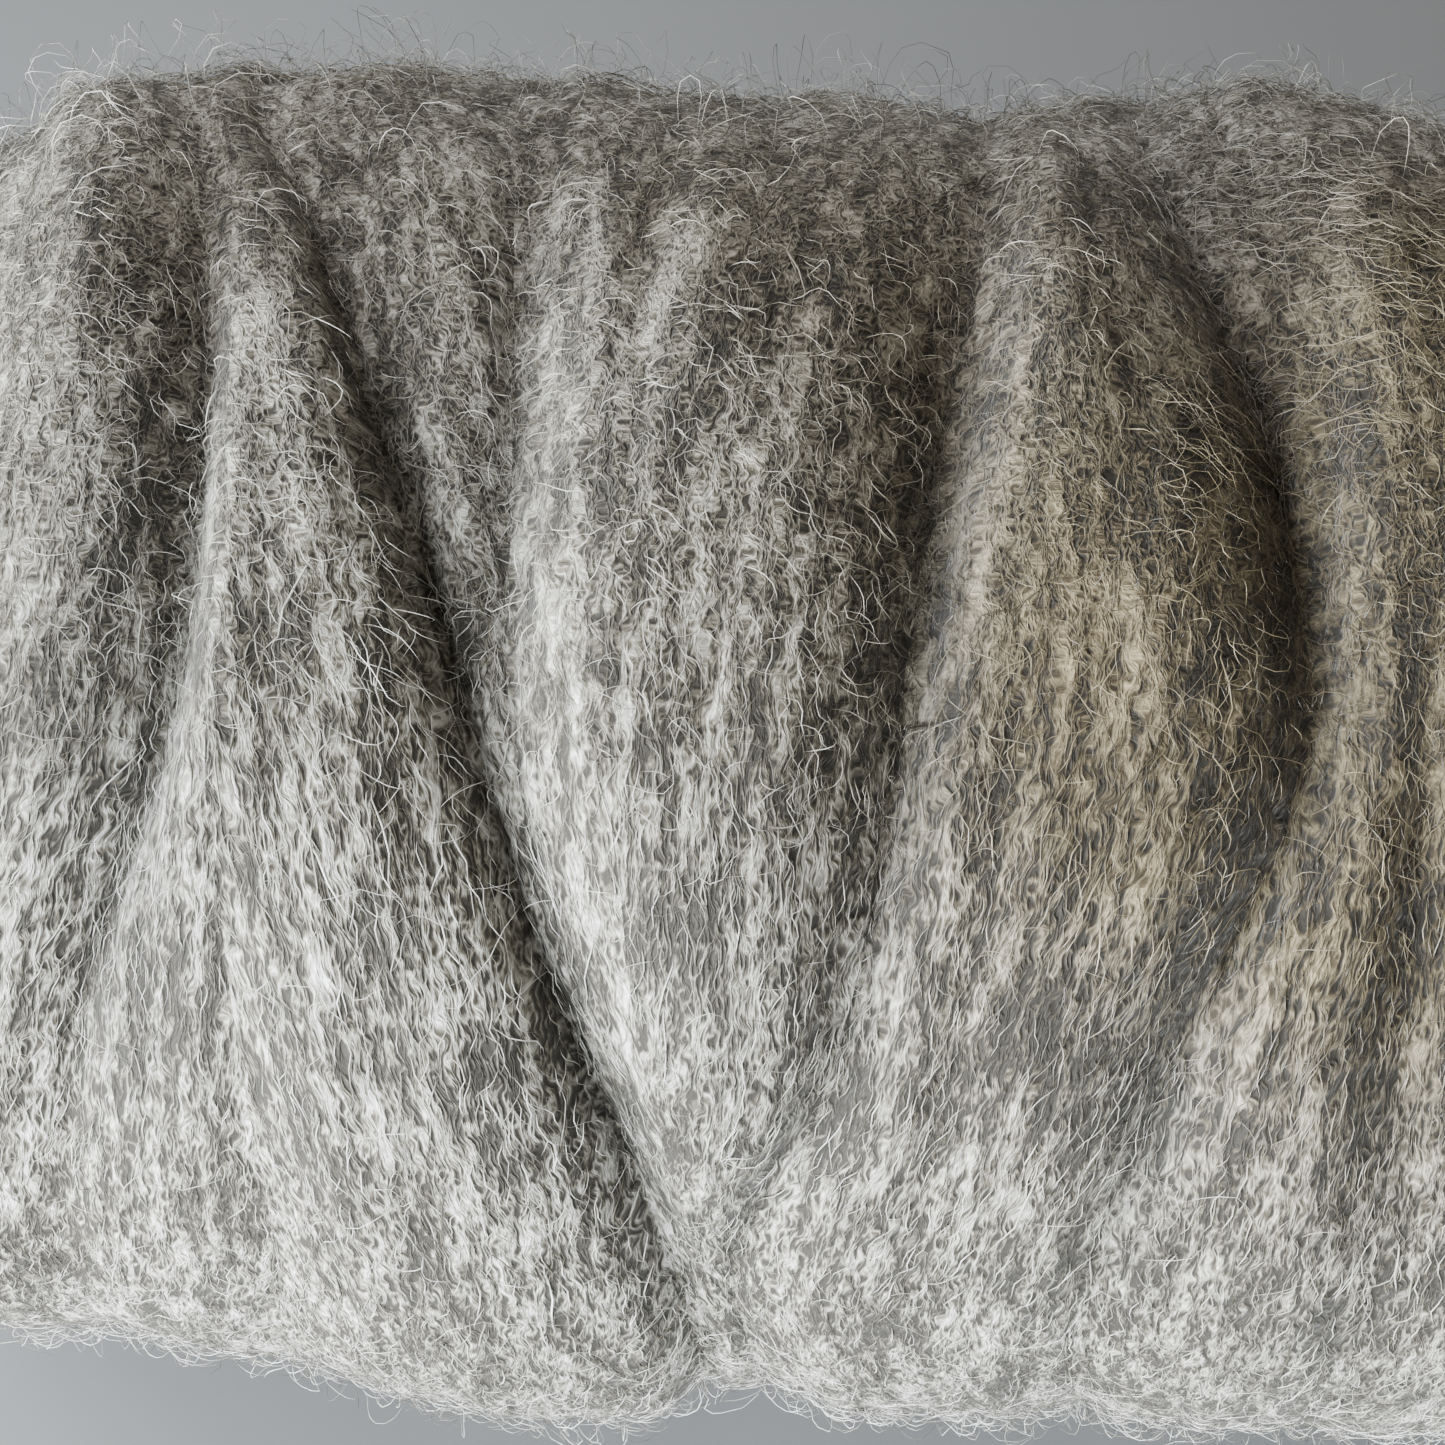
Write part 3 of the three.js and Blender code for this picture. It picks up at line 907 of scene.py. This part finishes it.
def mass_material():
    """Fibres packed side by side: wavy streaks along the turns, with dark gaps between the locks, partly
    dark fibres and partly painted shade in the bump's hollows.
    """
    recipe = Recipe("packed_wool")
    run = recipe.add("ShaderNodeAttribute", attribute_name="run").outputs["Vector"]
    wild = recipe.add("ShaderNodeAttribute", attribute_name="wild").outputs["Fac"]
    wavy = swayed(recipe, run, wild)
    combed = recipe.net(recipe.stretch(wavy, *UNITS["combed"]))
    tousled = recipe.net(recipe.stretch(wavy, *UNITS["tousled"]))
    lines = recipe.blend(wild, combed, tousled)
    locks = recipe.noise(recipe.stretch(wavy, *UNITS["locks"]), rough=0.6)
    streaks = recipe.noise(recipe.stretch(wavy, *UNITS["streaks"]), detail=3.0)
    patches = recipe.noise(recipe.stretch(run, *UNITS["patches"]), detail=1.0)
    relief = recipe.math("MULTIPLY", lines, WEIGHTS["lines"])
    relief = recipe.math("ADD", relief, recipe.math("MULTIPLY", locks, WEIGHTS["locks"]))
    relief = recipe.math("ADD", relief, recipe.math("MULTIPLY", streaks, WEIGHTS["streaks"]))
    tone = recipe.math("ADD", relief, recipe.math("MULTIPLY", patches, WEIGHTS["patches"]))
    # Painted shade: a higher middle where the wool is tousled makes the top of the roll a little darker.
    off_middle = recipe.math("SUBTRACT", tone, recipe.mix(wild, *MIDDLE))
    contrasted = recipe.math("MULTIPLY", off_middle, recipe.mix(wild, *CONTRAST))
    tone = recipe.math("ADD", MEAN_TONE, contrasted)
    # The same relief gives the bump and the tone, so the bump's hollows are darker: partly the dark fibres
    # in the mix, partly painted shade.
    stops = [(0.2, DARK_WOOL), (0.33, TAUPE_WOOL), (0.47, GREY_WOOL), (0.65, PALE_WOOL), (0.85, WHITE_WOOL)]
    recipe.feed(recipe.shader.inputs["Base Color"], recipe.tinted_and_shaded(recipe.ramp(tone, stops)))
    depth = {"Height": relief, "Strength": 1.0, "Distance": BUMP_DEPTH * MM}
    bump = recipe.add("ShaderNodeBump", depth)
    recipe.feed(recipe.shader.inputs["Normal"], bump.outputs["Normal"])
    recipe.shader.inputs["Roughness"].default_value = 0.7
    recipe.shader.inputs["Specular IOR Level"].default_value = 0.25
    recipe.shader.inputs["Sheen Weight"].default_value = 0.15
    recipe.shader.inputs["Sheen Roughness"].default_value = 0.5
    return recipe.material


def swayed(recipe, run, wild):
    """The running coordinates pushed aside in waves, as crimp does, and in curls where it is tousled."""
    wave = recipe.math("SUBTRACT", recipe.noise(recipe.stretch(run, *UNITS["crimp"]), detail=1.0), 0.5)
    push = recipe.math("MULTIPLY", wave, recipe.mix(wild, *PUSH))
    aside = recipe.add("ShaderNodeCombineXYZ", {"X": push}).outputs["Vector"]
    return recipe.add("ShaderNodeVectorMath", {0: run, 1: aside}, operation="ADD").outputs["Vector"]


def floor_material():
    recipe = Recipe("pale_floor")
    recipe.shader.inputs["Base Color"].default_value = (*FLOOR_GREY, 1.0)
    recipe.shader.inputs["Roughness"].default_value = 0.5
    return recipe.material


# The stage, the light and the camera

# The camera, in millimetres and degrees. Its aim is given from the creases' zero and the roll's axis.
IMAGE_SIDE = 1445
SENSOR = 36.0
FOCAL_PIXELS = 2855.0
CAMERA = dict(azimuth=4.5, elevation=46.0, distance=200.0, aim_x=-10.0, aim_z=-0.5)


# In metres: the floor, the camera's near limit and, further down, the lights' places and sizes.
FLOOR_SIDE = 6.0
NEAR_LIMIT = 0.01


def floor():
    """The plain surface that the roll lies on."""
    bpy.ops.object.select_all(action="DESELECT")
    bpy.ops.mesh.primitive_plane_add(size=FLOOR_SIDE)
    ground = bpy.context.object
    ground.name = "floor"
    ground.data.materials.append(floor_material())


def camera():
    """The photograph's view: from above the front, so close that both ends are out of the picture."""
    a = math.radians(CAMERA["azimuth"])
    e = math.radians(CAMERA["elevation"])
    back = Vector((math.sin(a) * math.cos(e), -math.cos(a) * math.cos(e), math.sin(e)))
    aim = Vector((CAMERA["aim_x"] - CREASE_ZERO + ROLL_MIDDLE, 0, AXIS_HEIGHT + CAMERA["aim_z"])) * MM
    data = bpy.data.cameras.new("camera")
    data.sensor_width = SENSOR
    data.lens = SENSOR * FOCAL_PIXELS / IMAGE_SIDE
    data.clip_start = NEAR_LIMIT
    eye = bpy.data.objects.new("camera", data)
    eye.location = aim + back * CAMERA["distance"] * MM
    eye.rotation_mode = "QUATERNION"
    eye.rotation_quaternion = (-back).to_track_quat("-Z", "Y")
    bpy.context.scene.collection.objects.link(eye)
    bpy.context.scene.camera = eye


LIGHTS = {
    "window": dict(place=(-0.25, -0.315, 0.062), size=(0.46, 0.09), power=14.2, colour=(0.93, 0.98, 1.0)),
    "sky": dict(place=(-0.34, 0.04, 0.36), size=(0.3, 0.3), power=3.5, colour=(0.96, 0.98, 1.0)),
    "room": dict(place=(0.3, -0.1, 0.8), size=(0.9, 0.9), power=2.0, colour=(1.0, 0.92, 0.76)),
}
ROOM_GLOW = (0.58, 0.55, 0.46)
ROOM_STRENGTH = 0.29


def lights():
    """A wide window low at the left, soft light over it and a room that fills the shade."""
    middle = Vector((0, 0, AXIS_HEIGHT * MM))
    for name, lamp in LIGHTS.items():
        data = bpy.data.lights.new(name, "AREA")
        data.shape = "RECTANGLE"
        data.size, data.size_y = lamp["size"]
        data.energy = lamp["power"]
        data.color = lamp["colour"]
        light = bpy.data.objects.new(name, data)
        light.location = lamp["place"]
        light.rotation_mode = "QUATERNION"
        light.rotation_quaternion = (middle - light.location).to_track_quat("-Z", "Y")
        bpy.context.scene.collection.objects.link(light)
    world = bpy.data.worlds.new("room")
    world.use_nodes = True
    glow = world.node_tree.nodes["Background"]
    glow.inputs["Color"].default_value = (*ROOM_GLOW, 1.0)
    glow.inputs["Strength"].default_value = ROOM_STRENGTH
    bpy.context.scene.world = world


# The whole

camera()
lights()
floor()

mass = wool_mass()
belongs(mass, mass_material())
skin = probe_skin(mass)
fibres = fibre_material()
fibre_piece("front_wisps", 11, skin, WISPS, fibres)
fibre_piece("front_fibres", 12, skin, FINE, fibres)
fibre_piece("top_curls", 13, skin, CURLS, fibres)
fibre_piece("swept_locks", 16, skin, SWEPT, fibres)
fibre_piece("round_fibres", 14, skin, ROUND, fibres)
fibre_piece("stray_fuzz", 15, skin, HALO, fibres)

bpy.ops.object.select_all(action="DESELECT")
